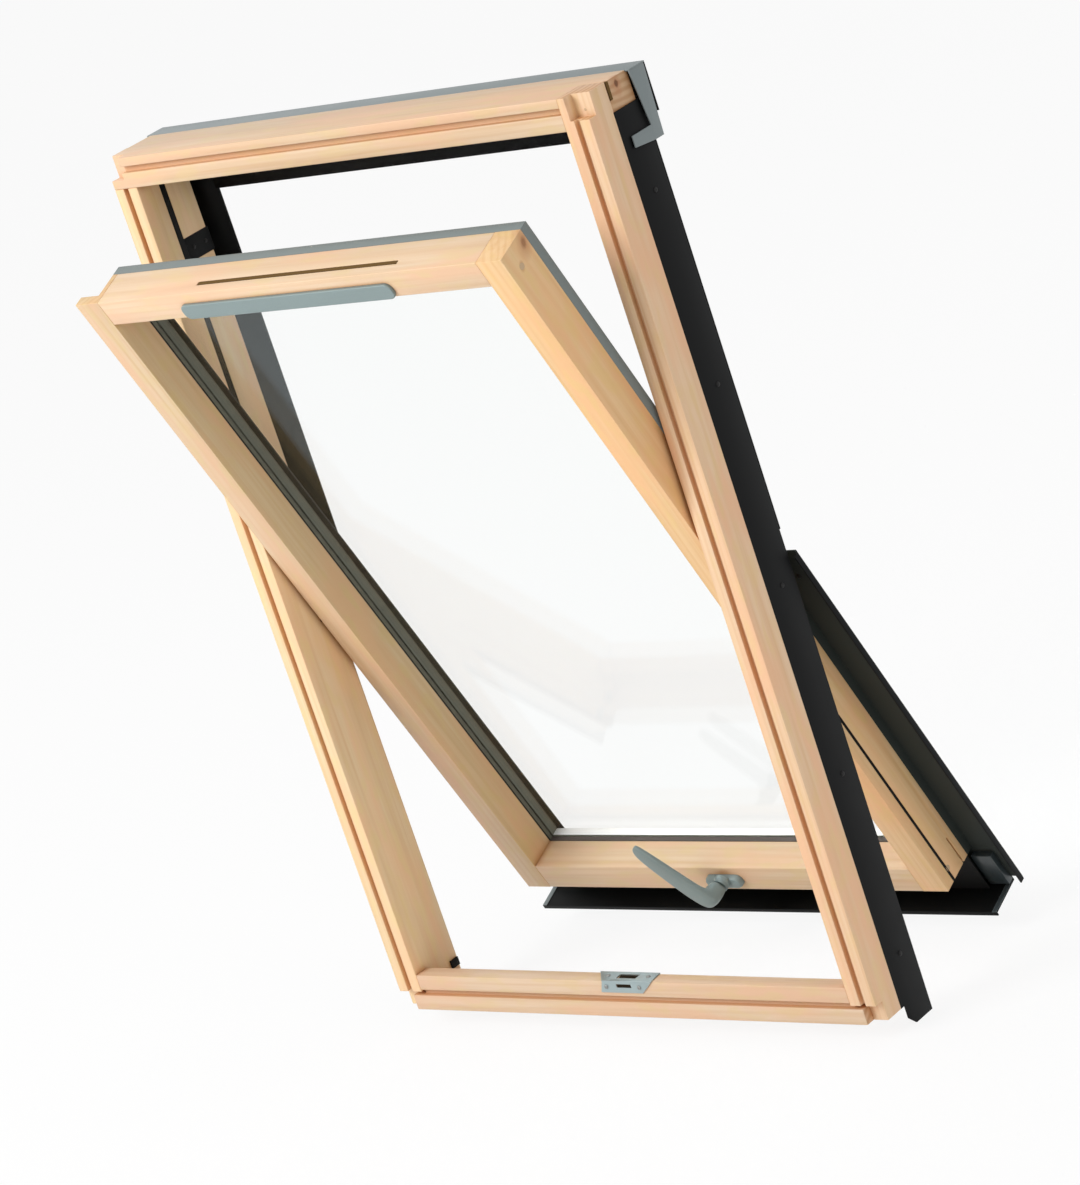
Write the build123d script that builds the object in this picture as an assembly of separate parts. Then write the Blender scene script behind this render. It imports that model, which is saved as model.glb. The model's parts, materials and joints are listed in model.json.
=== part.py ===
from build123d import *
import os

# Roof window, centre pivot, shown half open.  Millimetres, X across, Z up the jambs,
# room face of the frame towards -Y, origin in the middle of the underside of the sill.
# Depths are measured from the room face, and every sash size is given with the sash shut.

# outer frame
FRAME_WIDTH = 780.0
FRAME_HEIGHT = 1180.0
FRAME_DEPTH = 88.0
JAMB_WIDTH = 38.5
HEAD_HEIGHT = 39.5
JAMB_REBATE_DEPTH = 9.0    # rear inner rebate of the lower half of the jambs
JAMB_REBATE_WIDTH = 8.5
SILL_SETBACK = 10.0        # back of the sill in front of the back of the jambs
SILL_HEIGHT = 50.0
SILL_LEDGE = 22.5          # depth of the raised room side ledge of the sill
SILL_STEP = 15.0           # drop behind that ledge
SILL_FALL = 17.0           # fall of the sloped floor behind the ledge
GROOVE_WIDTH = 8.0         # groove for the wall lining, all round the room face
GROOVE_DEPTH = 7.0
JAMB_LIP = 15.0            # strip outside the groove on the jambs
HEAD_LIP = 11.5            # the same on the head
SILL_LIP = 21.0            # the same on the sill
SILL_LIP_PLAY = 5.0        # open notch above the ends of the sill strip
NOTCH_WIDTH = 21.5         # open corners of the outer strip
NOTCH_WIDTH_RIGHT = 28.0   # the top right one is wider
NOTCH_HEIGHT = 28.0
NOTCH_DEPTH = 14.0
TENON_DEPTH = 45.0         # end grain of the head seen in the side of the right jamb
JOINT_SLOT = 5.0           # open slot at the outer corner of that joint
JOINT_SLOT_HEIGHT = 23.0

# sash
SIDE_GAP = 5.0             # air between sash and jamb
HEAD_GAP = 18.5            # air between sash and head
SASH_PROUD = 1.5           # back of the sash behind the back of the frame
SASH_DEPTH = 59.5
SASH_BOTTOM = 46.0
STILE_WIDTH = 38.5
SASH_HEAD_HEIGHT = 37.0
BOTTOM_RAIL_HEIGHT = 41.0
SASH_NOTCH_WIDTH = 31.0    # corner cut out of the left stile behind its room face
SASH_NOTCH_FRONT = 14.0
KERF_WIDTH = 2.5           # saw slit in the side of the stiles, at their foot
KERF_HEIGHT = 46.0
KERF_DEPTH = 6.0
OPEN_ANGLE = 21.94
PIVOT_OUT = 10.5           # pivot axis behind the outer covers

# glazing
GLASS_THICK = 4.0
GLASS_GAP = 12.0
GASKET_THICK = 7.5
REBATE = 14.0              # width of the glass rebate in the sash wood
WOOD_BEHIND = 14.5         # sash wood standing beside the glass rebate
GLASS_PLAY = 3.0
SPACER_INSET = 2.0         # spacer behind the edge of the panes

# seals, stops and guide blocks
SEAL_SET = 7.0             # seal of the upper jambs behind the room face of the sash
SEAL_WIDTH = 9.0
SEAL_DEPTH = 6.0
SEAL_START = 60.0          # it begins this far above the pivot
SASH_SEAL_SET = 16.5       # seal in the outer side of the lower stiles
SASH_SEAL = 4.0
FOOT_THICK = 2.5           # small rubber stop at the foot of each jamb
FOOT_LENGTH = 15.0
FOOT_HEIGHT = 11.0
FOOT_DROP = 25.0           # its lower edge below the top of the sill
GUIDE_LOW = 434.0          # guide block, heights above the pivot
GUIDE_HIGH = 464.0
GUIDE_DEPTH = 12.0
GUIDE_PROUD = 3.0          # guide block stands out behind the jamb

# pivot plates let into jamb and stile
HINGE_THICK = 3.0
HINGE_BELOW = 60.0
HINGE_ABOVE = 45.0
HINGE_SETBACK = 4.0
EYE_RADIUS = 8.0
PIN_RADIUS = 4.0
PIN_PLAY = 0.1

# folded metal covers of the frame
SHEET = 2.0
HALF_GAP = 15.0            # covers stop this far above and below the pivot
CLAD_FRONT = 42.0          # side cladding let into the outer face of the jambs
CLAD_CLEAR = 6.5           # air between the cladding and the shut sash covers
CLAD_OVERLAP = 3.0         # cladding runs up past the underside of the head
CLAD_TAB = 29.0            # tab of the cladding hanging below the sill
CLAD_TAB_FRONT = 50.0
CLAD_TAB_SLANT = 12.0
FLANGE_LAP = 16.0          # upper cover reaches this far inside the jamb face
FLANGE_RISE = 19.0         # and slopes outward by this much
HOOD_SEAT_DEPTH = 4.0      # shallow rebate of the head under the hood
HOOD_LEG = 88.0            # side leg of the hood
HOOD_LEG_SLANT = 9.0
HOOD_LEG_TAPER = 3.0
HOOD_APRON = 60.0          # rear fold of the hood
HOOD_BAR_REACH = 28.0      # forward bar at the foot of the leg
HOOD_BAR = 18.0
HOOD_BAR_RISE = 4.0
HEAD_COVER_CLEAR = 5.5     # air between the shut sash covers and the head cover
HEAD_COVER_DROP = 46.0     # head cover reaches this far below the head

# folded metal covers of the sash
COVER_LAP = 8.0            # they reach this far past the wood over the glass
STRIP_LAP = 9.5            # grey strip laps this far over the outer side of the stiles
STRIP_IN = 24.5            # width of its first fold
STRIP_RISE = 9.1           # from that fold to the outer cover
LEG_GAP = 5.0              # air between the lower covers and the cladding
LEG_DEPTH = 12.9           # outer leg of the lower covers
LEG_DROP = 55.0            # they run this far below the sash
LEG_CHAMFER = 5.6
BOTTOM_INSET = 22.0        # ends of the bottom cover inside the outer legs
LEDGE_DROP = 6.7           # ledge under the legs
LEDGE_DEPTH = 55.5
LEDGE_LIP = 6.0
APRON_SET = 2.5            # apron in front of the back of the sash
END_CAP_THICK = 9.0
END_CAP_HEIGHT = 52.0
END_CAP_RISE = 1.7         # foot of the end caps above the ledge

# striker plate on the sill
STRIKER_THICK = 1.5
STRIKER_BACK_LEFT = -52.0
STRIKER_BACK_RIGHT = 46.0
STRIKER_LEFT = -32.0
STRIKER_RIGHT = 48.0
STRIKER_LOW = 15.0
STRIKER_TAPER = 6.0
STRIKER_HOLE = 16.0
STRIKER_HOLE_SET = 6.0
STRIKER_SLOT = 12.0
STRIKER_SLOT_HEIGHT = 5.0
STRIKER_SLOT_SET = 3.0

# air slot in the sash head and the bar below it
VENT_SLOT_LEFT = -147.0
VENT_SLOT_RIGHT = 178.0
VENT_SLOT_SET = 13.7
VENT_SLOT = 6.0
VENT_SLOT_DEPTH = 22.0
VENT_BAR_LEFT = -177.0
VENT_BAR_RIGHT = 165.0
VENT_BAR_THICK = 4.5
VENT_BAR_HEIGHT = 22.0
VENT_BAR_ROUND = 9.0
VENT_BAR_EASE = 1.5

# handle
HANDLE_X = 8.0
HANDLE_RISE = 26.0         # lever axis above the underside of the sash
BASE_LEFT = -22.0
BASE_RIGHT = 40.0
BASE_HEIGHT = 27.0
BASE_THICK = 10.0
BASE_ROUND = 8.0
BASE_EASE = 1.5
COLLAR_RADIUS = 9.0
COLLAR_LENGTH = 8.0
LEVER_TILT = 32.0
LEVER_LENGTH = 122.0       # pivot of the lever to its tip
LEVER_OUT = 45.0           # blade in front of the sash
LEVER_BEND = 11.0
NECK_WIDTH = 17.0
NECK_HEIGHT = 15.0
BLADE_WIDTH = 25.0
BLADE_HEIGHT = 11.0
TIP_WIDTH = 21.0
TIP_HEIGHT = 7.0

# places across, from the middle
XO = FRAME_WIDTH / 2                    # outer face of the jambs
XI = XO - JAMB_WIDTH                    # inner face of the jambs
XS = XI - SIDE_GAP                      # outer face of the sash stiles
XG = XS - STILE_WIDTH                   # clear glass edge beside the stiles
XP = XG + REBATE - GLASS_PLAY           # glass edge
XT = XI - FLANGE_LAP                    # free edge of the upper side covers
HOOD_OUT = XO + 2 * SHEET
STRIP_REACH = STILE_WIDTH + COVER_LAP
LEG_OUT = XO + LEG_GAP + SHEET
LEG_FOLD = LEG_CHAMFER + (2 ** 0.5 - 1) * SHEET     # inner side of the 45 degree fold
BOTTOM_HALF = LEG_OUT - BOTTOM_INSET

# heights
ZH = FRAME_HEIGHT - HEAD_HEIGHT         # underside of the head
PIVOT_HEIGHT = FRAME_HEIGHT / 2
SASH_TOP = ZH - HEAD_GAP
ZGT = SASH_TOP - SASH_HEAD_HEIGHT       # clear glass edge, top
ZGB = SASH_BOTTOM + BOTTOM_RAIL_HEIGHT  # clear glass edge, bottom
PANE_TOP = ZGT + REBATE - GLASS_PLAY
PANE_BOTTOM = ZGB - REBATE + GLASS_PLAY
FOOT_LOW = SILL_HEIGHT - FOOT_DROP
CLAD_TOP = ZH + CLAD_OVERLAP
HOOD_SEAT = FRAME_HEIGHT - SHEET
HEAD_COVER_LOW = ZH - HEAD_COVER_DROP
LEG_LOW = SASH_BOTTOM - LEG_DROP
LEDGE_TOP = LEG_LOW - LEDGE_DROP
END_CAP_LOW = LEDGE_TOP + END_CAP_RISE
HANDLE_Z = SASH_BOTTOM + HANDLE_RISE

# depths
SILL_DEPTH = FRAME_DEPTH - SILL_SETBACK
SASH_BACK = FRAME_DEPTH + SASH_PROUD
SASH_FRONT = SASH_BACK - SASH_DEPTH
REBATE_FLOOR = SASH_BACK - WOOD_BEHIND
PANE_IN = REBATE_FLOOR + GASKET_THICK
PANE_OUT = PANE_IN + GLASS_THICK + GLASS_GAP
COVER_IN = PANE_OUT + GLASS_THICK       # inner side of the outer covers
COVER_OUT = COVER_IN + SHEET
PIVOT_DEPTH = COVER_OUT + PIVOT_OUT
SEAL_FRONT = SASH_FRONT + SEAL_SET
FOOT_BACK = FRAME_DEPTH - JAMB_REBATE_DEPTH
CLAD_BACK = COVER_IN - CLAD_CLEAR
HOOD_FRONT = FRAME_DEPTH - HOOD_SEAT_DEPTH
HOOD_BAR_FRONT = HOOD_FRONT - HOOD_BAR_REACH
HOOD_BACK = COVER_OUT + HEAD_COVER_CLEAR + 2 * SHEET
STRIP_FACE = SASH_BACK - STRIP_LAP      # start of the grey strip
STRIP_STEP = COVER_IN - STRIP_RISE      # its first fold
LEG_FRONT = COVER_OUT - LEG_DEPTH
LEDGE_FRONT = COVER_OUT - LEDGE_DEPTH
APRON_FRONT = SASH_BACK - APRON_SET
END_CAP_FRONT = COVER_IN - END_CAP_THICK


def block(x0, x1, y0, y1, z0, z1):
    return Pos((x0 + x1) / 2, (y0 + y1) / 2, (z0 + z1) / 2) * Box(x1 - x0, y1 - y0, z1 - z0)


def prism_x(points, x0, x1):
    face = make_face(Polyline(*[(x0, y, z) for y, z in points], close=True))
    return extrude(face, amount=x1 - x0, dir=(1, 0, 0))


def prism_z(points, z0, z1):
    face = make_face(Polyline(*[(x, y, z0) for x, y in points], close=True))
    return extrude(face, amount=z1 - z0, dir=(0, 0, 1))


def flip(shape):
    return mirror(shape, about=Plane.YZ)


def rod_x(x0, x1, y, z, radius):
    return Pos((x0 + x1) / 2, y, z) * Rot(0, 90, 0) * Cylinder(radius, x1 - x0)


def ring(x_out, x_in, y0, y1, z_top, z_bottom, z_top_in, z_bottom_in):
    outer = block(-x_out, x_out, y0, y1, z_bottom, z_top)
    inner = block(-x_in, x_in, y0 - 1, y1 + 1, z_bottom_in, z_top_in)
    return outer - inner


def jamb_profile():
    lip = XO - JAMB_LIP
    groove = lip - GROOVE_WIDTH
    return [(XI, 0), (groove, 0), (groove, GROOVE_DEPTH), (lip, GROOVE_DEPTH), (lip, 0),
            (XO, 0), (XO, CLAD_FRONT), (XO - SHEET, CLAD_FRONT), (XO - SHEET, FRAME_DEPTH),
            (XI, FRAME_DEPTH)]


def seal_groove():
    return block(XI - 1, XI + SEAL_DEPTH, SEAL_FRONT, SEAL_FRONT + SEAL_WIDTH,
                 PIVOT_HEIGHT + SEAL_START, ZH)


def hinge_pocket():
    return block(XI - 1, XI + HINGE_THICK, SEAL_FRONT + SEAL_WIDTH + HINGE_SETBACK, FRAME_DEPTH + 1,
                 PIVOT_HEIGHT - HINGE_BELOW, PIVOT_HEIGHT + HINGE_ABOVE)


def guide_pocket():
    return block(XI - 1, XI + GUIDE_DEPTH, SEAL_FRONT + SEAL_WIDTH, FRAME_DEPTH + 1,
                 PIVOT_HEIGHT + GUIDE_LOW, PIVOT_HEIGHT + GUIDE_HIGH)


def sill_lip_seat():
    return block(XI - 1, XO + 1, -1, NOTCH_DEPTH, -1, SILL_LIP + SILL_LIP_PLAY)


def rear_rebate():
    return block(XI - 1, XI + JAMB_REBATE_WIDTH, FRAME_DEPTH - JAMB_REBATE_DEPTH, FRAME_DEPTH + 1,
                 -1, PIVOT_HEIGHT - HINGE_BELOW)


def jamb_cuts():
    return seal_groove() + hinge_pocket() + guide_pocket() + sill_lip_seat() + rear_rebate()


def frame_jamb_right():
    post = prism_z(jamb_profile(), 0, FRAME_HEIGHT)
    post -= block(XO - NOTCH_WIDTH_RIGHT, XO + 1, -1, NOTCH_DEPTH,
                  FRAME_HEIGHT - NOTCH_HEIGHT, FRAME_HEIGHT + 1)
    post -= block(XI - 1, XO + 1, TENON_DEPTH, FRAME_DEPTH + 1, ZH, FRAME_HEIGHT + 1)
    return post - jamb_cuts()


def frame_jamb_left():
    return flip(prism_z(jamb_profile(), 0, ZH) - jamb_cuts())


def frame_head():
    lip = FRAME_HEIGHT - HEAD_LIP
    groove = lip - GROOVE_WIDTH
    points = [(0, ZH), (0, groove), (GROOVE_DEPTH, groove), (GROOVE_DEPTH, lip), (0, lip),
              (0, FRAME_HEIGHT), (FRAME_DEPTH, FRAME_HEIGHT), (FRAME_DEPTH, ZH)]
    head = prism_x(points, -XO, XI)
    head -= block(-XO - 1, -XO + NOTCH_WIDTH, -1, NOTCH_DEPTH,
                  FRAME_HEIGHT - NOTCH_HEIGHT, FRAME_HEIGHT + 1)
    head -= block(-XO - 1, -XO + SHEET, CLAD_FRONT, FRAME_DEPTH + 1, ZH - 1, FRAME_HEIGHT + 1)
    head += block(XI, XO - SHEET, TENON_DEPTH, FRAME_DEPTH, ZH, FRAME_HEIGHT)
    head -= block(-XO - 1, XO, HOOD_FRONT, FRAME_DEPTH + 1, HOOD_SEAT, FRAME_HEIGHT + 1)
    slot = block(XO - JOINT_SLOT, XO, TENON_DEPTH - 1, TENON_DEPTH + JOINT_SLOT,
                 FRAME_HEIGHT - JOINT_SLOT_HEIGHT, FRAME_HEIGHT + 1)
    return head - slot


def frame_sill():
    groove = SILL_LIP + GROOVE_WIDTH
    floor = SILL_HEIGHT - SILL_STEP
    points = [(0, 0), (0, SILL_LIP), (GROOVE_DEPTH, SILL_LIP), (GROOVE_DEPTH, groove), (0, groove),
              (0, SILL_HEIGHT), (SILL_LEDGE, SILL_HEIGHT), (SILL_LEDGE, floor),
              (SILL_DEPTH, floor - SILL_FALL), (SILL_DEPTH, 0)]
    sill = prism_x(points, -XI, XI)
    lip = XO - NOTCH_WIDTH
    return sill + block(-lip, lip, 0, NOTCH_DEPTH, 0, SILL_LIP)


def jamb_seal():
    upper = block(XI, XI + SEAL_DEPTH, SEAL_FRONT, SEAL_FRONT + SEAL_WIDTH,
                  PIVOT_HEIGHT + SEAL_START, ZH) - guide_pocket()
    foot = block(XI - FOOT_THICK, XI, FOOT_BACK - FOOT_LENGTH, FOOT_BACK,
                 FOOT_LOW, FOOT_LOW + FOOT_HEIGHT)
    return upper + foot


def guide_block():
    return block(XI, XI + GUIDE_DEPTH, SEAL_FRONT + SEAL_WIDTH, FRAME_DEPTH + GUIDE_PROUD,
                 PIVOT_HEIGHT + GUIDE_LOW, PIVOT_HEIGHT + GUIDE_HIGH)


def pivot_arm(x0, x1, y0):
    arm = block(x0, x1, y0, PIVOT_DEPTH, PIVOT_HEIGHT - EYE_RADIUS, PIVOT_HEIGHT + EYE_RADIUS)
    return arm + rod_x(x0, x1, PIVOT_DEPTH, PIVOT_HEIGHT, EYE_RADIUS)


def hinge_plate():
    plate = block(XI, XI + HINGE_THICK, SEAL_FRONT + SEAL_WIDTH + HINGE_SETBACK, FRAME_DEPTH,
                  PIVOT_HEIGHT - HINGE_BELOW, PIVOT_HEIGHT + HINGE_ABOVE)
    plate += pivot_arm(XI, XI + HINGE_THICK, FRAME_DEPTH)
    return plate - rod_x(XI - 1, XI + HINGE_THICK + 1, PIVOT_DEPTH, PIVOT_HEIGHT, PIN_RADIUS + PIN_PLAY)


def side_cladding():
    points = [(CLAD_FRONT, 0), (CLAD_TAB_FRONT, 0), (CLAD_TAB_FRONT, -CLAD_TAB + CLAD_TAB_SLANT),
              (CLAD_TAB_FRONT + CLAD_TAB_SLANT, -CLAD_TAB), (CLAD_BACK, -CLAD_TAB),
              (CLAD_BACK, CLAD_TOP), (CLAD_FRONT, CLAD_TOP)]
    return prism_x(points, XO - SHEET, XO)


def side_cover():
    back = CLAD_BACK + FLANGE_RISE
    points = [(XO, CLAD_BACK), (XT, back), (XT, back + SHEET), (XO, CLAD_BACK + SHEET)]
    return prism_z(points, PIVOT_HEIGHT + HALF_GAP, FRAME_HEIGHT - HOOD_APRON)


def head_cover():
    return block(-XT, XT, HOOD_BACK - 2 * SHEET, HOOD_BACK - SHEET, HEAD_COVER_LOW, HOOD_SEAT)


def head_hood():
    return block(-HOOD_OUT, HOOD_OUT, HOOD_FRONT, HOOD_BACK, HOOD_SEAT, FRAME_HEIGHT)


def hood_apron():
    return block(-HOOD_OUT, HOOD_OUT, HOOD_BACK - SHEET, HOOD_BACK, FRAME_HEIGHT - HOOD_APRON, HOOD_SEAT)


def hood_side():
    low = FRAME_HEIGHT - HOOD_LEG
    bar = low + HOOD_BAR
    back = HOOD_BACK - SHEET
    points = [(HOOD_FRONT, HOOD_SEAT), (HOOD_FRONT + HOOD_LEG_SLANT, bar), (HOOD_BAR_FRONT, bar),
              (HOOD_BAR_FRONT, low + HOOD_BAR_RISE), (HOOD_FRONT + HOOD_LEG_SLANT, low),
              (back - HOOD_LEG_TAPER, low), (back, HOOD_SEAT)]
    return prism_x(points, HOOD_OUT - SHEET, HOOD_OUT)


def striker_plate():
    low = SILL_HEIGHT - STRIKER_LOW
    plate = prism_z([(STRIKER_LEFT, -STRIKER_THICK), (STRIKER_RIGHT, -STRIKER_THICK),
                     (STRIKER_BACK_RIGHT, SILL_LEDGE), (STRIKER_BACK_LEFT, SILL_LEDGE)],
                    SILL_HEIGHT, SILL_HEIGHT + STRIKER_THICK)
    middle = (STRIKER_LEFT + STRIKER_RIGHT) / 2 - STRIKER_TAPER
    plate -= block(middle - STRIKER_HOLE, middle + STRIKER_HOLE, STRIKER_HOLE_SET,
                   SILL_LEDGE - STRIKER_HOLE_SET, SILL_HEIGHT - 1, SILL_HEIGHT + STRIKER_THICK + 1)
    leg = make_face(Polyline((STRIKER_LEFT, SILL_HEIGHT), (STRIKER_RIGHT, SILL_HEIGHT),
                             (STRIKER_RIGHT - 3 * STRIKER_TAPER, low),
                             (STRIKER_LEFT - STRIKER_TAPER, low), close=True))
    leg = Plane.XZ * extrude(leg, amount=STRIKER_THICK)
    high = SILL_HEIGHT - STRIKER_SLOT_SET
    slot = block(middle - STRIKER_SLOT, middle + STRIKER_SLOT, -STRIKER_THICK - 1, 1,
                 high - STRIKER_SLOT_HEIGHT, high)
    return plate + leg - slot


def hinge_recess():
    return block(XS - HINGE_THICK, XS + 1, SASH_FRONT + SASH_SEAL_SET + SASH_SEAL, SASH_BACK + 1,
                 PIVOT_HEIGHT - HINGE_BELOW, PIVOT_HEIGHT + HINGE_ABOVE)


def sash_stile(notched):
    stile = block(XG, XS, SASH_FRONT, SASH_BACK, SASH_BOTTOM, SASH_TOP)
    stile -= block(XG - 1, XG + REBATE, REBATE_FLOOR, SASH_BACK + 1, ZGB - REBATE, ZGT + REBATE)
    stile -= sash_seal()
    stile -= hinge_recess()
    stile -= block(XS - SHEET, XS + 1, STRIP_FACE, SASH_BACK + 1, PIVOT_HEIGHT + HALF_GAP, SASH_TOP + 1)
    stile -= block(XG - 1, XS + 1, STRIP_FACE, SASH_BACK + 1, SASH_TOP - SHEET, SASH_TOP + 1)
    stile -= block(XS - KERF_DEPTH, XS + 1, REBATE_FLOOR + 1, REBATE_FLOOR + 1 + KERF_WIDTH,
                   SASH_BOTTOM - 1, SASH_BOTTOM + KERF_HEIGHT)
    if notched:
        stile -= block(XS - SASH_NOTCH_WIDTH, XS + 1, SASH_FRONT + SASH_NOTCH_FRONT, SASH_BACK + 1,
                       SASH_TOP - STRIP_REACH, SASH_TOP + 1)
    return stile


def sash_seal():
    return block(XS - SASH_SEAL, XS, SASH_FRONT + SASH_SEAL_SET, SASH_FRONT + SASH_SEAL_SET + SASH_SEAL,
                 SASH_BOTTOM, PIVOT_HEIGHT - HALF_GAP)


def sash_head():
    rail = block(-XG, XG, SASH_FRONT, SASH_BACK, ZGT, SASH_TOP)
    rail -= block(-XG - 1, XG + 1, REBATE_FLOOR, SASH_BACK + 1, ZGT - 1, ZGT + REBATE)
    rail -= block(-XG - 1, XG + 1, STRIP_FACE, SASH_BACK + 1, SASH_TOP - SHEET, SASH_TOP + 1)
    front = SASH_FRONT + VENT_SLOT_SET
    return rail - block(VENT_SLOT_LEFT, VENT_SLOT_RIGHT, front, front + VENT_SLOT,
                        SASH_TOP - VENT_SLOT_DEPTH, SASH_TOP + 1)


def sash_bottom_rail():
    rail = block(-XG, XG, SASH_FRONT, SASH_BACK, SASH_BOTTOM, ZGB)
    return rail - block(-XG - 1, XG + 1, REBATE_FLOOR, SASH_BACK + 1, ZGB - REBATE, ZGB + 1)


def pane(y):
    return block(-XP, XP, y, y + GLASS_THICK, PANE_BOTTOM, PANE_TOP)


def glazing_gasket():
    return ring(XP, XG, REBATE_FLOOR, PANE_IN, PANE_TOP, PANE_BOTTOM, ZGT, ZGB)


def glass_spacer():
    y = PANE_IN + GLASS_THICK
    return ring(XP - SPACER_INSET, XG, y, y + GLASS_GAP, PANE_TOP - SPACER_INSET,
                PANE_BOTTOM + SPACER_INSET, ZGT, ZGB)


def strip_profile(edge, sign):
    a, b = edge, edge - sign * STRIP_IN
    return [(a - sign * SHEET, STRIP_FACE), (a, STRIP_FACE), (a, STRIP_STEP),
            (b + sign * SHEET, STRIP_STEP), (b + sign * SHEET, COVER_OUT),
            (a - sign * STRIP_REACH, COVER_OUT), (a - sign * STRIP_REACH, COVER_IN),
            (b, COVER_IN), (b, STRIP_STEP - SHEET), (a - sign * SHEET, STRIP_STEP - SHEET)]


def mitre(z_cut):
    # wedge below the corner mitre, down to z_cut
    far = 2 * STRIP_REACH
    face = make_face(Polyline((XS + 5, 0, SASH_TOP + 5), (XS - far, 0, SASH_TOP - far),
                              (XS - far, 0, z_cut), (XS + 5, 0, z_cut), close=True))
    return extrude(face, amount=2 * COVER_OUT, dir=(0, 1, 0))


def edge_strip(notched):
    low = PIVOT_HEIGHT + HALF_GAP
    strip = prism_z(strip_profile(XS, 1), low, SASH_TOP)
    bridge = block(XS - STRIP_REACH, XS - STRIP_IN + SHEET, COVER_IN, COVER_OUT,
                   PIVOT_HEIGHT - HALF_GAP, low)
    if notched:
        strip += bridge
        return strip - block(XS - STRIP_REACH - 1, XS + 1, 0, COVER_OUT + 1,
                             SASH_TOP - STRIP_REACH, SASH_TOP + 1)
    return (strip & mitre(low)) + bridge


def edge_strip_top():
    strip = prism_x([(y, z) for z, y in strip_profile(SASH_TOP, 1)], -XS + SASH_NOTCH_WIDTH, XS)
    return strip - mitre(SASH_TOP - 3 * STRIP_REACH)


def lower_cover():
    high = PIVOT_HEIGHT - HALF_GAP
    flange = prism_z([(XS - STRIP_REACH, COVER_IN), (LEG_OUT - LEG_FOLD, COVER_IN),
                      (LEG_OUT - LEG_CHAMFER, COVER_OUT), (XS - STRIP_REACH, COVER_OUT)],
                     SASH_BOTTOM, high)
    return flange + block(XS - SHEET, XS, SASH_BACK, COVER_IN, SASH_BOTTOM, high)


def lower_leg():
    points = [(LEG_OUT - SHEET, LEG_FRONT), (LEG_OUT, LEG_FRONT), (LEG_OUT, COVER_OUT - LEG_CHAMFER),
              (LEG_OUT - LEG_CHAMFER, COVER_OUT), (LEG_OUT - LEG_FOLD, COVER_IN),
              (LEG_OUT - SHEET, COVER_OUT - LEG_FOLD)]
    return prism_z(points, LEG_LOW, PIVOT_HEIGHT - HALF_GAP)


def bottom_cover():
    x = LEG_OUT - LEG_FOLD
    wings = block(-x, x, COVER_IN, COVER_OUT, LEG_LOW, SASH_BOTTOM)
    return wings + block(-BOTTOM_HALF, BOTTOM_HALF, COVER_IN, COVER_OUT, LEDGE_TOP, LEG_LOW)


def bottom_ledge():
    x = BOTTOM_HALF
    low = LEDGE_TOP - LEDGE_LIP
    points = [(LEDGE_FRONT, low), (LEDGE_FRONT, LEDGE_TOP), (COVER_OUT, LEDGE_TOP),
              (COVER_OUT, LEDGE_TOP - SHEET), (LEDGE_FRONT + SHEET, LEDGE_TOP - SHEET),
              (LEDGE_FRONT + SHEET, low)]
    return prism_x(points, -x, x)


def bottom_apron():
    return block(-XS, XS, APRON_FRONT, APRON_FRONT + SHEET, LEDGE_TOP, SASH_BOTTOM)


def end_cap():
    return block(XS - SHEET, BOTTOM_HALF, END_CAP_FRONT, COVER_IN,
                 END_CAP_LOW, END_CAP_LOW + END_CAP_HEIGHT)


def sash_hinge():
    plate = block(XS - HINGE_THICK, XS, SASH_FRONT + SASH_SEAL_SET + SASH_SEAL, SASH_BACK,
                  PIVOT_HEIGHT - HINGE_BELOW, PIVOT_HEIGHT + HINGE_ABOVE)
    plate -= block(XS - SHEET, XS + 1, STRIP_FACE, SASH_BACK + 1, PIVOT_HEIGHT + HALF_GAP,
                   PIVOT_HEIGHT + HINGE_ABOVE + 1)
    plate += pivot_arm(XS - HINGE_THICK, XS, SASH_BACK)
    return plate + rod_x(XS, XI + HINGE_THICK, PIVOT_DEPTH, PIVOT_HEIGHT, PIN_RADIUS)


def vent_bar():
    bar = block(VENT_BAR_LEFT, VENT_BAR_RIGHT, SASH_FRONT - VENT_BAR_THICK, SASH_FRONT,
                ZGT, ZGT + VENT_BAR_HEIGHT)
    bar = fillet(bar.edges().filter_by(Axis.Y), VENT_BAR_ROUND)
    return fillet(bar.edges().group_by(Axis.Y)[0], VENT_BAR_EASE)


def handle_base():
    base = block(BASE_LEFT, BASE_RIGHT, SASH_FRONT - BASE_THICK, SASH_FRONT,
                 HANDLE_Z - BASE_HEIGHT / 2, HANDLE_Z + BASE_HEIGHT / 2)
    base = fillet(base.edges().filter_by(Axis.Y), BASE_ROUND)
    base = chamfer(base.edges().group_by(Axis.Y)[0], BASE_EASE)
    collar = Rot(90, 0, 0) * Cylinder(COLLAR_RADIUS, COLLAR_LENGTH)
    return base + Pos(HANDLE_X, SASH_FRONT - BASE_THICK - COLLAR_LENGTH / 2, HANDLE_Z) * collar


def lever_section(reach, out, turn, width, height):
    # section of the lever, turned from facing the room (0) to facing along the blade (90)
    blade = Vector(0, 0, 1).rotate(Axis.Y, -LEVER_TILT)
    across = Vector(1, 0, 0).rotate(Axis.Y, -LEVER_TILT)
    room = Vector(0, -1, 0)
    centre = Vector(HANDLE_X, SASH_FRONT - out, HANDLE_Z) + blade * reach
    facing = room.rotate(Axis((0, 0, 0), tuple(across)), -turn)
    plane = Plane(origin=centre, x_dir=across, z_dir=facing)
    return plane * RectangleRounded(width, height, 0.4 * height)


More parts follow.
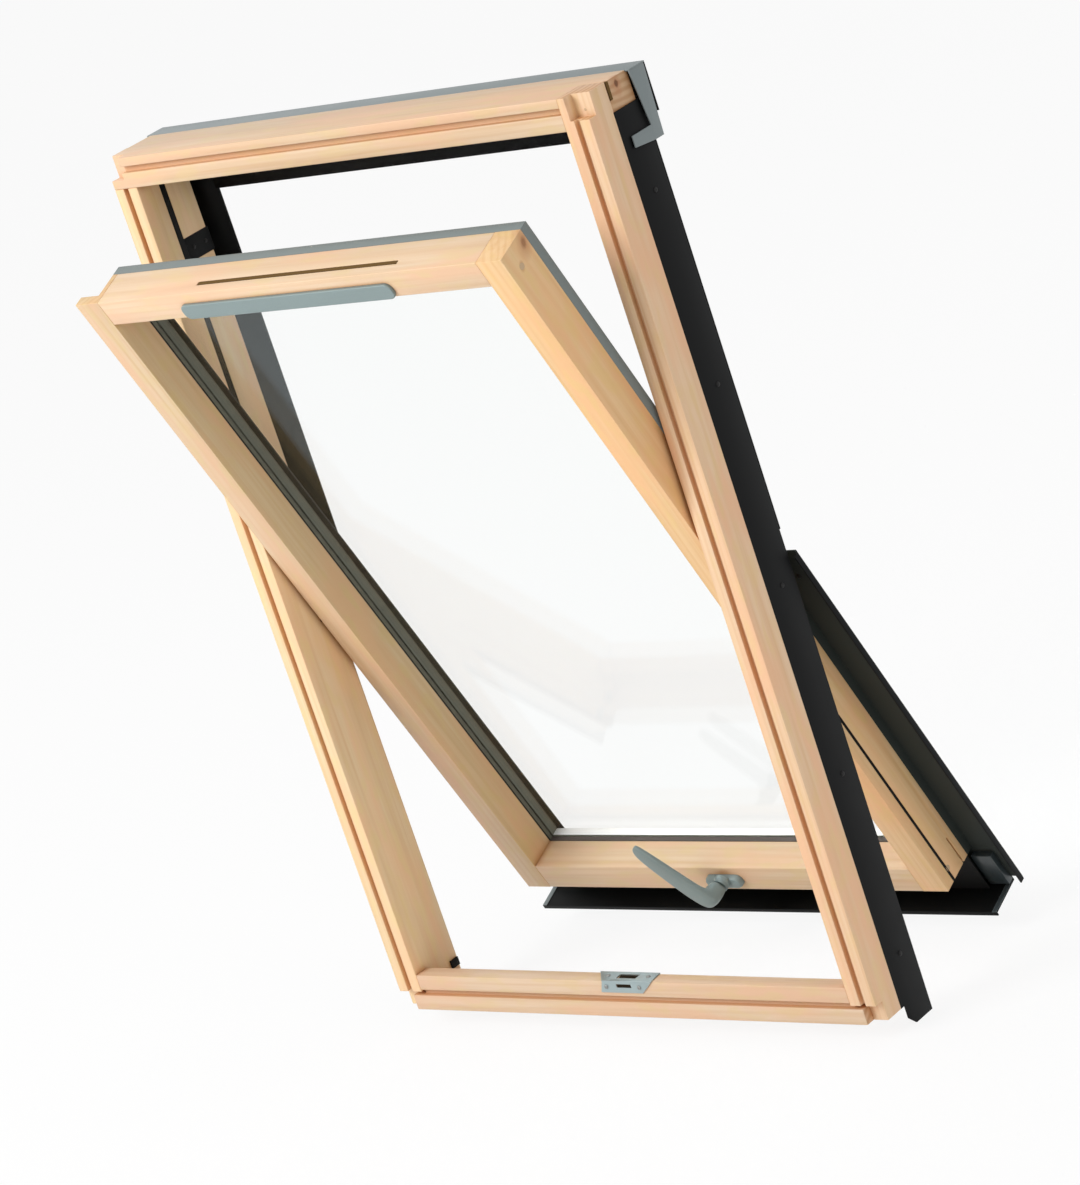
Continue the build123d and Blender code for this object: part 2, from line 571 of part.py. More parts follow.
def bend_section(turn):
    # sections round the bend from the neck into the blade
    part = turn / 90
    point = Vector(LEVER_BEND, 0, 0).rotate(Axis.Z, turn)
    return lever_section(LEVER_BEND - point.X, LEVER_OUT - LEVER_BEND + point.Y, turn,
                         NECK_WIDTH + (BLADE_WIDTH - NECK_WIDTH) * part,
                         NECK_HEIGHT + (BLADE_HEIGHT - NECK_HEIGHT) * part)


def handle_lever():
    root = BASE_THICK + COLLAR_LENGTH
    middle = BLADE_HEIGHT - 2 * (BLADE_HEIGHT - TIP_HEIGHT) / 3
    sections = [lever_section(0, root, 0, NECK_WIDTH, NECK_HEIGHT)]
    sections += [bend_section(turn) for turn in (0, 22.5, 45, 67.5, 90)]
    sections += [lever_section(LEVER_LENGTH / 2, LEVER_OUT, 90, BLADE_WIDTH, middle),
                 lever_section(LEVER_LENGTH, LEVER_OUT, 90, TIP_WIDTH, TIP_HEIGHT)]
    return loft(sections, ruled=True)


def save(name, shape, sash=False):
    if sash:
        shape = shape.rotate(Axis((0, PIVOT_DEPTH, PIVOT_HEIGHT), (1, 0, 0)), OPEN_ANGLE)
    shape = Pos(0, -FRAME_DEPTH / 2, 0) * shape
    shape.label = name
    export_step(shape, "parts/" + name + ".step")


def save_pair(name, shape, sash=False):
    save(name + "_right", shape, sash)
    save(name + "_left", flip(shape), sash)


os.makedirs("parts", exist_ok=True)

save("frame_jamb_right", frame_jamb_right())
save("frame_jamb_left", frame_jamb_left())
save("frame_head", frame_head())
save("frame_sill", frame_sill())
save_pair("jamb_seal", jamb_seal())
save_pair("guide_block", guide_block())
save_pair("hinge_plate", hinge_plate())
save_pair("side_cladding", side_cladding())
save_pair("side_cover", side_cover())
save("head_cover", head_cover())
save("head_hood", head_hood())
save("hood_apron", hood_apron())
save("hood_sides", hood_side() + flip(hood_side()))
save("striker_plate", striker_plate())

save("sash_stile_right", sash_stile(False), True)
save("sash_stile_left", flip(sash_stile(True)), True)
save("sash_head", sash_head(), True)
save("sash_bottom_rail", sash_bottom_rail(), True)
save("glass_inner", pane(PANE_IN), True)
save("glass_outer", pane(PANE_OUT), True)
save("glazing_gasket", glazing_gasket(), True)
save("glass_spacer", glass_spacer(), True)
save("edge_strip_right", edge_strip(False), True)
save("edge_strip_left", flip(edge_strip(True)), True)
save("edge_strip_top", edge_strip_top(), True)
save_pair("lower_cover", lower_cover(), True)
save_pair("lower_leg", lower_leg(), True)
save("bottom_cover", bottom_cover(), True)
save("bottom_ledge", bottom_ledge(), True)
save("bottom_apron", bottom_apron(), True)
save("end_caps", end_cap() + flip(end_cap()), True)
save_pair("sash_seal", sash_seal(), True)
save_pair("sash_hinge", sash_hinge(), True)
save("vent_bar", vent_bar(), True)
save("handle_base", handle_base(), True)
save("handle_lever", handle_lever(), True)
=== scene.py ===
import json
import math

import bmesh
import bpy
from mathutils import Matrix, Vector


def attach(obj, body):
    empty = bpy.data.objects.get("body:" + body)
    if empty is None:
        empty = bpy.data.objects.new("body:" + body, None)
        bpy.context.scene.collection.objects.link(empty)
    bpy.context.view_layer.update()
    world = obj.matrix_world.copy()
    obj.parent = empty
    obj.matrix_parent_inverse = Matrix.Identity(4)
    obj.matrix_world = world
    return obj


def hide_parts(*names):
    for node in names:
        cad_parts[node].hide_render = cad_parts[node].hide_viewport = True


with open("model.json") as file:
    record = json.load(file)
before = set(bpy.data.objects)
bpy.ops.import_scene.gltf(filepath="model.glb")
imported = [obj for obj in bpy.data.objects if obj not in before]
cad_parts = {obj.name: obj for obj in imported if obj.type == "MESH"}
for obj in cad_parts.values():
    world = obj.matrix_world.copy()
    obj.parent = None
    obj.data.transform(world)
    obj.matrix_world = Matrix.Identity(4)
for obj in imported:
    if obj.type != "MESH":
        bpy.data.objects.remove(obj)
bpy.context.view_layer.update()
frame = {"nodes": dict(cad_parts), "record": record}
nodes = frame["nodes"]
BODY = {node: body for body, members in frame["record"]["behaviour"]["bodies"].items() for node in members}
SLOT = {row["node"]: row["material_slot"] for row in frame["record"]["subparts"]}

# how the sash stands: opened by this angle round an axis along X, metres
OPEN = math.radians(21.94)
PIVOT = Vector((0.0, 0.071, 0.590))
TO_OPEN = Matrix.Translation(PIVOT) @ Matrix.Rotation(OPEN, 4, "X") @ Matrix.Translation(-PIVOT)
SASH_TO_ROOM = (0, -math.cos(OPEN), -math.sin(OPEN))
ROOM = Vector((0, -1, 0))
ROOM_FACE = -0.044          # room face of the outer frame, metres

# camera, metres and unit directions in the frame of the part
CAMERA_PLACE = (3.9199, -3.9632, 2.2770)
CAMERA_RIGHT = (0.74305, 0.59574, -0.30492)
CAMERA_UP = (0.03200, 0.42347, 0.90534)
CAMERA_LENS = 146.03
CAMERA_SENSOR = 36.0

# floor, surroundings and lamps
FLOOR_HALF = 40.0
FLOOR_HEIGHT = -0.03        # just under the lowest cover
FLOOR_TONE = (0.96, 0.96, 0.96, 1)
FLOOR_GLOW = 0.88           # the rest of what the camera sees is the lit floor, which keeps the shadow
WHITE = (1, 1, 1, 1)
WORLD_LIGHT = 0.56
LAMP_AIM = (0, 0, 0.6)
KEY_LAMP = {"place": (-1.6, -3.6, 3.4), "size": 2.2, "power": 150, "colour": (1, 1, 1)}
SIDE_LAMP = {"place": (3.8, -0.6, 2.2), "size": 2.0, "power": 12, "colour": (1.0, 0.97, 0.93)}

# turn of the grain, which runs along Z in the material
ALONG_Z = (0, 0, 0)
ALONG_X = (0, math.pi / 2, 0)
SASH_Z = (-OPEN, 0, 0)
SASH_X = (-OPEN, math.pi / 2, 0)

# marks of the pine, by scale across, across and along the wood
BEND_SCALE = (9, 9, 1.6)
RING_SCALE = (1, 1, 0.03)
FIBRE_SCALE = (900, 900, 9)
STREAK_SCALE = (95, 95, 2.2)
CLOUD_SCALE = (24, 24, 5.0)
BLOTCH_SCALE = (70, 70, 26)
BEND_REACH = (0.018, 0.018, 0.018)
RINGS_PER_METRE = 34.0

# tones of the pine, as shares of its light tone
LATE_WOOD = (0.84, 0.70, 0.53)
PINK_WOOD = (1.02, 0.87, 0.80)
YELLOW_WOOD = (0.95, 0.95, 0.70)
END_EARLY = (0.86, 0.72, 0.58)
END_LATE = (0.70, 0.50, 0.34)

# tones of the pine that are the same on all members
PINE_LIGHT = (0.80, 0.60, 0.415)
KNOT_HALO = (0.47, 0.17, 0.065)
KNOT_CORE = (0.16, 0.06, 0.02)
# painted shade in inner corners and grooves
PINE_CORNER_SHADE = (0.56, 0.25, 0.085)
# painted highlight along the edges
PINE_EDGE_HIGHLIGHT = (0.93, 0.76, 0.60)
KNOT_STRETCH = (1, 1, 0.62)

# reach of the painted shade in inner corners and the painted highlight on edges, metres
CORNER_REACH = 0.012
WOOD_EDGE = 0.0012
SHEET_EDGE = 0.0009
EDGE_COSINES = (5 / 6, 0.995)   # between true and rounded normal: a full edge, and none

GLASS_IOR = 1.22            # kept low, so that four surfaces mirror no more than two real coated panes
GLASS_BODY = (0.992, 0.998, 0.995, 1)
GLASS_MIRROR = (0.72, 0.96, 1.0, 1)
GLASS_SHADOW = (0.97, 0.985, 0.98, 1)
SPACER_TONE = (0.20, 0.20, 0.155)

# rounding of sharp edges, metres
EASED_WOOD = 0.0011
EASED_SHEET = 0.00035
SHARP_FROM = math.radians(28)
FLAT_UP_TO = math.radians(1.0)

# places on the window in millimetres: depth from the frame's room face, height over the sill's underside,
# the sash shut
SASH_FRONT = 30.0
SASH_TOP = 1122.0
SILL_TOP = 50.0
COVER_IN = 102.5
COVER_OUT = 104.5
CLADDING_SIDE = 390.0
JAMB_INSIDE = 351.5
STILE_SIDE = 346.5
FILM = 0.4                  # thickness of the thin pieces

VENT_SLOT = (-146.5, 177.5, 44.0, 49.4)     # left, right, front, back
VENT_SHADE_DROP = 1.0
VENT_SHADE_THICK = 0.8
GLASS_EDGE = (306.6, 313.0, 90.0, 1084.0)   # near and far from the middle, low, high
GLASS_EDGE_DEPTH = 98.0
LEDGE_END = (368.0, 374.8, 49.5, 101.5)     # near and far from the middle, front, back
LEDGE_END_HEIGHT = -15.6
POCKET_TOP = ((-11, 7), (21, 7), (19, 15.5), (-13, 15.5))
POCKET_TOP_RISE = 0.2
POCKET_FRONT = (-9, 13, 42.2, 46.8)         # left, right, low, high
POCKET_FRONT_DEPTH = -0.8
CORNER_JOINT = (45.3, 49.7, 1157.5, 1179.2)     # front, back, low, high
CORNER_JOINT_SIDE = 385.5
CORNER_JOINT_THICK = 3.6

# screws: pan heads by share of their radius and height as a share of it, with a cross recess
SCREW_SEGMENTS = 16
HEAD_PROFILE = ((1.0, -0.05), (1.0, 0.12), (0.88, 0.34), (0.58, 0.46))
RECESS_ARM = 0.50
RECESS_CORE = 0.15
RECESS_TOP = 0.47
RECESS_FLOOR = 0.12
RECESS_TAPER = 0.7

# where the screws sit, and their radii
CLADDING_SCREW = 3.2
CLADDING_SCREW_DEPTH = 70.0
CLADDING_SCREW_HEIGHTS = (60, 300, 545, 800, 1040)
FITTING_SCREW = 2.6
FITTING_SCREWS = ((58, 1039), (80, 1039), (58, 545), (78, 545), (58, 622), (78, 622))    # depth, height
STRIKER_SCREW = 3.0
STRIKER_TOP = (11.0, 1.5)                   # depth, rise over the sill
STRIKER_TOP_SCREWS = (-30, 36)
STRIKER_FRONT = (-1.5, 43.0)                # depth, height
STRIKER_FRONT_SCREWS = (-27, 27)
COVER_SCREW = 3.2
COVER_SCREW_SIDE = 372.0
COVER_SCREW_HEIGHTS = (80, 230, 400, 550)
BOTTOM_SCREWS = (-250, -85, 85, 250)
BOTTOM_SCREW_HEIGHT = 18.0
INNER_SCREW = 3.4
INNER_SCREW_PLACE = (371.2, 532.7)          # from the middle, height
PLATE_SCREW = 2.2
PLATE_SCREW_DEPTH = 60.0
PLATE_SCREW_HEIGHTS = (545, 620)

# ends of dowels: share of the radius, and height over the wood
DOWEL_PROFILE = ((1.0, -0.4), (1.0, 0.05), (0.8, 0.2), (0.3, 0.25))
FRAME_DOWEL = 1.7
FRAME_DOWEL_PLACE = (376.5, 14.0, 1160.0)
SASH_DOWEL = 4.2
SASH_DOWEL_DEPTH = 50.7
SASH_DOWEL_HEIGHTS = (1093, 66)

# lips of the rubber seals: share of the pitch, and share of the rise
LIP_PROFILE = ((0.15, 0.0), (0.40, 1.0), (0.60, 1.0), (0.85, 0.0))
LIP_RISE = 0.7
JAMB_LIPS = ((37.0, 46.0), (650.5, 1022.0), 3)      # depths, heights, count
SASH_LIPS = ((46.5, 50.5), (46.5, 529.0), 2)

# faces that meet at less than this many degrees are shaded as one
FLAT_SMOOTH = 30
EASED_SMOOTH = 35
ROUND_SMOOTH = 40
LEVER_SMOOTH = 60

# handle, seen from the room: its axis, and the lever leaning over to the left
HANDLE_X = 8.0
HANDLE_HEIGHT = 72.0
TILT = math.radians(32.0)
REACH = Vector((-math.sin(TILT), 0, math.cos(TILT)))
ACROSS = Vector((math.cos(TILT), 0, math.sin(TILT)))
# along the lever: reach, height over the sash, turn of the section, width, thickness and the shift towards
# its straight edge
LEVER_SECTIONS = (
    (1, 17.5, 0, 20, 19, 0), (3, 26, 0, 23, 24, 0), (2.7, 34.5, 14.3, 26, 24.2, 0),
    (4.0, 40.6, 31.2, 27, 25.6, 0), (9.5, 42.8, 44.6, 28, 21.1, 0), (17, 44.2, 66.2, 28, 14.9, 0),
    (26, 45, 90, 28.5, 12.5, 0), (50, 45, 90, 28, 11, 0), (80, 45, 90, 26, 9.5, 1.0),
    (104, 45, 90, 23, 8, 2.2), (115, 45, 90, 18, 7, 4.0), (120.5, 45, 90, 12, 5.5, 6.0),
    (122.5, 45, 90, 5, 3.5, 8.5))
LEVER_POINTS = 20
LEVER_SQUARENESS = 0.62     # 1 is an ellipse, less is squarer
BASE_BOX = (-24.0, 33.0, 56.0, 75.0)        # left, right, low, high
BASE_STEPS = ((0.0, 0.0), (0.0, 5.0), (1.6, 8.0), (4.0, 9.2))      # inset and height over the sash
BASE_SQUARER = 0.55         # its ends reach this much further than half circles
BOSS_STEPS = ((11.0, 8.0), (11.0, 12.5), (10.2, 13.5), (10.2, 17.6))    # radius and height over the sash
BOSS_SEGMENTS = 24


def at(x, depth, height):
    """Metres from millimetres, with depth from the room face of the frame."""
    return (x / 1000, ROOM_FACE + depth / 1000, height / 1000)


def opened(x, depth, height):
    """A point of the shut sash, millimetres, moved to where the sash stands."""
    return tuple(TO_OPEN @ Vector(at(x, depth, height)))


def shares(tone, parts):
    return tuple(value * part for value, part in zip(tone, parts))


# materials


class Nodes:
    """A node tree under construction; values or outputs of other nodes go to the inputs of a new node."""

    def __init__(self, owner, end="OutputMaterial"):
        owner.use_nodes = True
        self.owner = owner
        self.tree = owner.node_tree
        self.tree.nodes.clear()
        self.end = self.tree.nodes.new("ShaderNode" + end)

    def make(self, kind, inputs=(), out=0, **settings):
        node = self.tree.nodes.new("ShaderNode" + kind)
        for key, value in settings.items():
            setattr(node, key, value)
        for key, value in dict(inputs).items():
            socket = node.inputs[key]
            if isinstance(value, bpy.types.NodeSocket):
                self.tree.links.new(value, socket)
            else:
                socket.default_value = value
        return node.outputs[out]

    def mix(self, share, a, b, kind="MIX"):
        a, b = [(*v, 1.0) if isinstance(v, tuple) and len(v) == 3 else v for v in (a, b)]
        return self.make("Mix", {0: share, 6: a, 7: b}, out=2, data_type="RGBA", blend_type=kind)

    def maths(self, kind, a, b=0.0):
        return self.make("Math", {0: a, 1: b}, operation=kind)

    def steps(self, value, low, high, a=0.0, b=1.0):
        return self.make("MapRange", {0: value, 1: low, 2: high, 3: a, 4: b})

    def place(self):
        return self.make("TexCoord", out="Object")

    def facing(self, direction):
        """Cosine between the surface and a direction."""
        return self.make("VectorMath", {0: self.make("TexCoord", out="Normal"), 1: direction}, out="Value",
                         operation="DOT_PRODUCT")

    def noise(self, where, scale, detail, out="Fac"):
        return self.make("TexNoise", {"Vector": where, "Scale": scale, "Detail": detail}, out=out)

    def corner(self, samples):
        """Low in inner corners, 1 in the open."""
        return self.make("AmbientOcclusion", {"Distance": CORNER_REACH}, out="AO", samples=samples)

    def edge(self, radius):
        """1 along edges, 0 on flats."""
        soft = self.make("Bevel", {"Radius": radius}, samples=4)
        hard = self.make("NewGeometry", out="Normal")
        same = self.make("VectorMath", {0: soft, 1: hard}, out="Value", operation="DOT_PRODUCT")
        return self.steps(same, *EDGE_COSINES, 1.0, 0.0)

    def bump(self, height, strength, distance):
        return self.make("Bump", {"Height": height, "Strength": strength, "Distance": distance})

    def surface(self, shader):
        self.tree.links.new(shader, self.end.inputs["Surface"])
        return self.owner


def material(name):
    return Nodes(bpy.data.materials.new(name))


def grain(n, turn, scale, shift):
    """Coordinates with Z along the grain, scaled."""
    turned = n.make("Mapping", {"Vector": n.place(), "Location": shift, "Rotation": turn})
    return n.make("Mapping", {"Vector": turned, "Scale": scale})


def growth_rings(n, turn, shift):
    bend = n.noise(grain(n, turn, BEND_SCALE, shift), 1.0, 1.0, out="Color")
    straight = grain(n, turn, RING_SCALE, shift)
    bent = n.make("VectorMath", {0: bend, 1: BEND_REACH, 2: straight}, operation="MULTIPLY_ADD")
    return n.make("TexWave", {"Vector": bent, "Scale": RINGS_PER_METRE, "Distortion": 3.0, "Detail": 2.0,
                              "Detail Scale": 0.7}, out="Fac", wave_type="RINGS", rings_direction="Z")


def side_grain(n, turn, shift, light, rings, streak, fibre):
    """Colour of the long faces: dark late wood, fine fibres, pinker and yellower patches."""
    late = shares(light, LATE_WOOD)
    cloud = n.noise(grain(n, turn, CLOUD_SCALE, shift), 1.0, 2.0)
    blotch = n.noise(grain(n, turn, BLOTCH_SCALE, shift), 1.0, 1.0)
    colour = n.mix(n.steps(rings, 0.45, 1.0, 0.0, 0.30), light, late)
    colour = n.mix(n.steps(streak, 0.45, 0.75, 0.0, 0.62), colour, late)
    colour = n.mix(n.steps(fibre, 0.48, 0.78, 0.0, 0.22), colour, late)
    colour = n.mix(n.steps(cloud, 0.44, 0.62, 0.0, 0.90), colour, shares(light, PINK_WOOD))
    return n.mix(n.steps(blotch, 0.50, 0.68, 0.0, 0.45), colour, shares(light, YELLOW_WOOD))


def end_grain(n, colour, turn, light, rings, share, tone):
    """Rings of early and late wood laid over the faces across the grain."""
    turned = Matrix.Rotation(turn[1], 3, "Y") @ Matrix.Rotation(turn[0], 3, "X")
    along = tuple(turned.transposed() @ Vector((0, 0, 1)))
    ends = n.steps(n.maths("ABSOLUTE", n.facing(along)), 0.75, 0.92)
    early = shares(light, [tone * part for part in END_EARLY])
    late = shares(light, [tone * part for part in END_LATE])
    wood = n.mix(n.steps(rings, 0.2, 0.9), early, late)
    return n.mix(n.maths("MULTIPLY", ends, share), colour, wood)


def knot(n, colour, turn, streak, place, radius, depth):
    """A knot with a ragged rim and a red halo."""
    away = n.make("VectorMath", {0: n.place(), 1: place}, operation="SUBTRACT")
    flat = n.make("Mapping", {"Vector": away, "Rotation": turn, "Scale": KNOT_STRETCH})
    far = n.make("VectorMath", {0: flat}, out="Value", operation="LENGTH")
    rim = n.maths("ADD", far, n.maths("MULTIPLY", n.steps(streak, 0.3, 0.7, -1, 1), radius * 0.25))
    colour = n.mix(n.steps(rim, radius * 0.5, radius * 2.2, 0.60, 0.0), colour, KNOT_HALO)
    return n.mix(n.steps(rim, radius * 0.45, radius * 0.9, depth, 0.0), colour, KNOT_CORE)


def pine(name, turn, shift, knots=(), light=PINE_LIGHT, end_share=0.85, end_tone=1.0, front=None):
    """Clear lacquered pine; front is a painted shade multiplied into sash faces turned to the room."""
    n = material(name)
    rings = growth_rings(n, turn, shift)
    fibre = n.noise(grain(n, turn, FIBRE_SCALE, shift), 1.0, 4.0)
    streak = n.noise(grain(n, turn, STREAK_SCALE, shift), 1.0, 3.0)
    colour = side_grain(n, turn, shift, light, rings, streak, fibre)
    colour = end_grain(n, colour, turn, light, rings, end_share, end_tone)
    # painted shade: faces turned to the room are multiplied by the front tone
    if front:
        turned = n.steps(n.facing(SASH_TO_ROOM), 0.90, 0.97)
        colour = n.mix(turned, colour, n.mix(1.0, colour, front, kind="MULTIPLY"))
    for place, radius, depth in knots:
        colour = knot(n, colour, turn, streak, place, radius, depth)
    # painted shade in inner corners and grooves
    colour = n.mix(n.steps(n.corner(6), 0.30, 0.90, 0.80, 0.0), colour, PINE_CORNER_SHADE)
    # painted highlight along the edges
    colour = n.mix(n.maths("MULTIPLY", n.edge(WOOD_EDGE), 0.25), colour, PINE_EDGE_HIGHLIGHT)
    height = n.maths("ADD", n.maths("MULTIPLY", fibre, 0.6), n.maths("MULTIPLY", rings, 0.4))
    return n.surface(n.make("BsdfPrincipled", {
        "Base Color": colour, "Roughness": n.steps(fibre, 0.3, 0.8, 0.40, 0.60), "Specular IOR Level": 0.30,
        "Coat Weight": 0.10, "Coat Roughness": 0.28, "Normal": n.bump(height, 0.18, 0.0005)}))


def painted(name, colour, rough, dust=0.08, metal=0.0, spec=0.4, edge=(0.4, 0.42, 0.42), edge_highlight=0.25):
    """Coated sheet, plastic or rubber: fine grit, faint dust, painted corner shade, painted edge highlight.
    """
    n = material(name)
    peel = n.noise(n.place(), 420.0, 3.0)
    cloud = n.noise(n.place(), 9.0, 5.0)
    dusty = tuple(min(1.0, c * 1.9 + 0.02) for c in colour)
    base = n.mix(n.steps(cloud, 0.42, 0.72, 0.0, dust), colour, dusty)
    # painted shade in corners
    base = n.mix(n.steps(n.corner(4), 0.3, 0.9, 0.5, 0.0), base, tuple(c * 0.35 for c in colour))
    # painted highlight along the edges, in patches
    rim = n.maths("MULTIPLY", n.edge(SHEET_EDGE), n.steps(cloud, 0.35, 0.65, edge_highlight * 0.3, edge_highlight))
    base = n.mix(rim, base, edge)
    return n.surface(n.make("BsdfPrincipled", {
        "Base Color": base, "Roughness": n.steps(cloud, 0.3, 0.7, rough - 0.06, rough + 0.08),
        "Metallic": metal, "Specular IOR Level": spec, "Normal": n.bump(peel, 0.10, 0.0003)}))


def clear_glass(name):
    """Clear pane with a faint cool reflection."""
    n = material(name)
    pane = n.make("BsdfPrincipled", {"Base Color": GLASS_BODY, "Transmission Weight": 1.0, "IOR": GLASS_IOR,
                                     "Roughness": 0.0, "Specular Tint": GLASS_MIRROR})
    through = n.make("BsdfTransparent", {"Color": GLASS_SHADOW})
    shadow = n.make("LightPath", out="Is Shadow Ray")
    return n.surface(n.make("MixShader", {0: shadow, 1: pane, 2: through}))


def by_depth(name, outer, inner, start, spec=0.25, top=None):
    """Two tones of a sash piece, inner up to a depth behind the room face, and a painted light tone on
    upward faces.
    """
    n = material(name)
    shut = n.make("Mapping", {"Vector": n.place(), "Rotation": (-OPEN, 0, 0)})
    pivot = Matrix.Rotation(-OPEN, 3, "X") @ PIVOT
    depth = n.maths("SUBTRACT", n.make("SeparateXYZ", {0: shut}, out="Y"), pivot.y - PIVOT.y + ROOM_FACE)
    cloud = n.noise(n.place(), 40.0, 4.0)
    tone = n.mix(n.steps(depth, start - 0.0003, start + 0.0003), inner, outer)
    # painted light: upward faces get a tone of their own for the light falling on them
    if top:
        upward = n.make("SeparateXYZ", {0: n.make("TexCoord", out="Normal")}, out="Z")
        tone = n.mix(n.steps(upward, 0.7, 0.85), tone, top)
    tone = n.mix(n.steps(cloud, 0.4, 0.7, 0.0, 0.04), tone, (0.2, 0.2, 0.18))
    return n.surface(n.make("BsdfPrincipled", {
        "Base Color": tone, "Roughness": n.steps(cloud, 0.3, 0.7, 0.5, 0.6), "Specular IOR Level": spec,
        "Normal": n.bump(cloud, 0.05, 0.0003)}))


BLACK = painted("anthracite_coat", (0.0072, 0.0076, 0.0080), 0.46, dust=0.05, spec=0.10,
                edge=(0.05, 0.055, 0.058), edge_highlight=0.3)
LEDGE = painted("ledge_coat", (0.0045, 0.005, 0.005), 0.46, dust=0.03, spec=0.08,
                edge=(0.06, 0.07, 0.07), edge_highlight=0.3)
COVER = painted("cover_coat", (0.030, 0.037, 0.033), 0.50, spec=0.20, edge=(0.08, 0.09, 0.09), edge_highlight=0.3)
GREY = painted("grey_coat", (0.215, 0.25, 0.255), 0.42, edge=(0.5, 0.53, 0.52), edge_highlight=0.4)
CAP = painted("cap_plastic", (0.042, 0.055, 0.060), 0.36, spec=0.5, edge=(0.22, 0.27, 0.28), edge_highlight=1.0)
SEAL = painted("seal_rubber", (0.010, 0.010, 0.010), 0.65, spec=0.15, edge=(0.03, 0.03, 0.03), edge_highlight=0.2)
ZINC = painted("zinc_plate", (0.36, 0.44, 0.45), 0.34, metal=0.55, edge=(0.7, 0.74, 0.75), edge_highlight=0.6)
LEVER = painted("lever_coat", (0.235, 0.30, 0.30), 0.42, metal=0.1, edge=(0.42, 0.50, 0.50), edge_highlight=0.3)
# painted shade for the insides of the striker's pockets
POCKET_SHADE = painted("pocket_shade", (0.020, 0.014, 0.008), 0.8, spec=0.05, edge=(0.03, 0.02, 0.012), edge_highlight=0.1)
BROWN = painted("slot_shade", (0.150, 0.088, 0.032), 0.8, spec=0.05, edge=(0.16, 0.09, 0.04), edge_highlight=0.2)
SCREW = painted("screw_zinc", (0.30, 0.31, 0.30), 0.36, metal=0.7, edge=(0.6, 0.6, 0.58), edge_highlight=0.6)
BLACKED = painted("screw_black", (0.012, 0.012, 0.012), 0.4, spec=0.2, edge=(0.06, 0.06, 0.06), edge_highlight=0.6)
DOWEL = painted("dowel_end", (0.60, 0.43, 0.27), 0.7, spec=0.1, edge=(0.5, 0.4, 0.3), edge_highlight=0.2)
SPACER = by_depth("spacer_tones", SPACER_TONE, SPACER_TONE, 0.0965, top=(0.86, 0.86, 0.84))
GASKET = by_depth("gasket_tones", (0.16, 0.16, 0.12), (0.006, 0.006, 0.006), 0.0770,
                  top=(0.10, 0.085, 0.075))
STRIP = by_depth("strip_tones", (0.012, 0.013, 0.012), (0.20, 0.23, 0.225), 0.0985, spec=0.35)
GLASS = clear_glass("glass_clear")

# the members of pine; a knot is its place, radius and darkness
# each member's own light tone is painted light and shade, darker or brighter by the light it gets
LOOK = {
    "frame_jamb_right": pine("pine_jamb_right", ALONG_Z, (0.07, 0.03, 0.1), light=(0.85, 0.60, 0.39),
                             knots=[((0.375, -0.036, 0.018), 0.004, 0.3),
                                    ((0.368, -0.044, 1.174), 0.004, 0.1)]),
    "frame_jamb_left": pine("pine_jamb_left", ALONG_Z, (-0.05, 0.06, 0.7), light=(0.92, 0.71, 0.45)),
    "frame_head": pine("pine_head", ALONG_X, (0.3, 0.05, -1.22), end_tone=0.86,
                       knots=[((0.388, 0.0195, 1.171), 0.0045, 0.9)]),
    "frame_sill": pine("pine_sill", ALONG_X, (0.1, -0.06, 0.05), light=(0.73, 0.545, 0.385)),
    "sash_stile_right": pine("pine_stile_right", SASH_Z, (0.03, -0.05, 0.2), light=(0.86, 0.595, 0.325),
                             end_share=0.1, knots=[(opened(STILE_SIDE, 72.5, 1109), 0.0065, 0.5),
                                                   (opened(STILE_SIDE, 50.7, 1093), 0.0022, 0.1)]),
    "sash_stile_left": pine("pine_stile_left", SASH_Z, (-0.06, 0.02, 0.4), light=(0.79, 0.60, 0.355),
                            end_share=0.3, front=(0.93, 0.925, 1.05)),
    "sash_head": pine("pine_sash_head", SASH_X, (0.5, 0.03, 0.9), light=(0.83, 0.63, 0.44), end_share=0.5),
    "sash_bottom_rail": pine("pine_bottom_rail", SASH_X, (0.2, -0.02, 0.3), light=(0.745, 0.575, 0.395)),
}
PAIRS = {
    "jamb_seal": SEAL, "sash_seal": SEAL, "guide_block": BLACK, "hinge_plate": BLACK, "sash_hinge": BLACK,
    "side_cladding": BLACK, "side_cover": BLACK, "lower_leg": BLACK, "lower_cover": COVER,
    "edge_strip": STRIP,
}
SINGLES = {
    "head_cover": BLACK, "head_hood": GREY, "hood_sides": GREY, "hood_apron": BLACK, "striker_plate": ZINC,
    "glass_inner": GLASS, "glass_outer": GLASS, "glazing_gasket": GASKET, "glass_spacer": SPACER,
    "edge_strip_top": STRIP, "bottom_cover": COVER, "bottom_ledge": LEDGE, "bottom_apron": SEAL,
    "end_caps": CAP, "vent_bar": LEVER, "handle_base": LEVER, "handle_lever": LEVER,
}
LOOK.update(SINGLES)
LOOK.update({stem + side: look for stem, look in PAIRS.items() for side in ("_right", "_left")})


# solids of the source, dressed


def add(name, mesh, look, body, smooth):
    """Object of a mesh, smooth up to an angle in degrees, that rides on a body."""
    obj = bpy.data.objects.new(name, mesh)
    bpy.context.collection.objects.link(obj)
    mesh.materials.clear()
    mesh.materials.append(look)
    for face in mesh.polygons:
        face.use_smooth = True
    mesh.set_sharp_from_angle(angle=math.radians(smooth))
    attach(obj, body)
    return obj


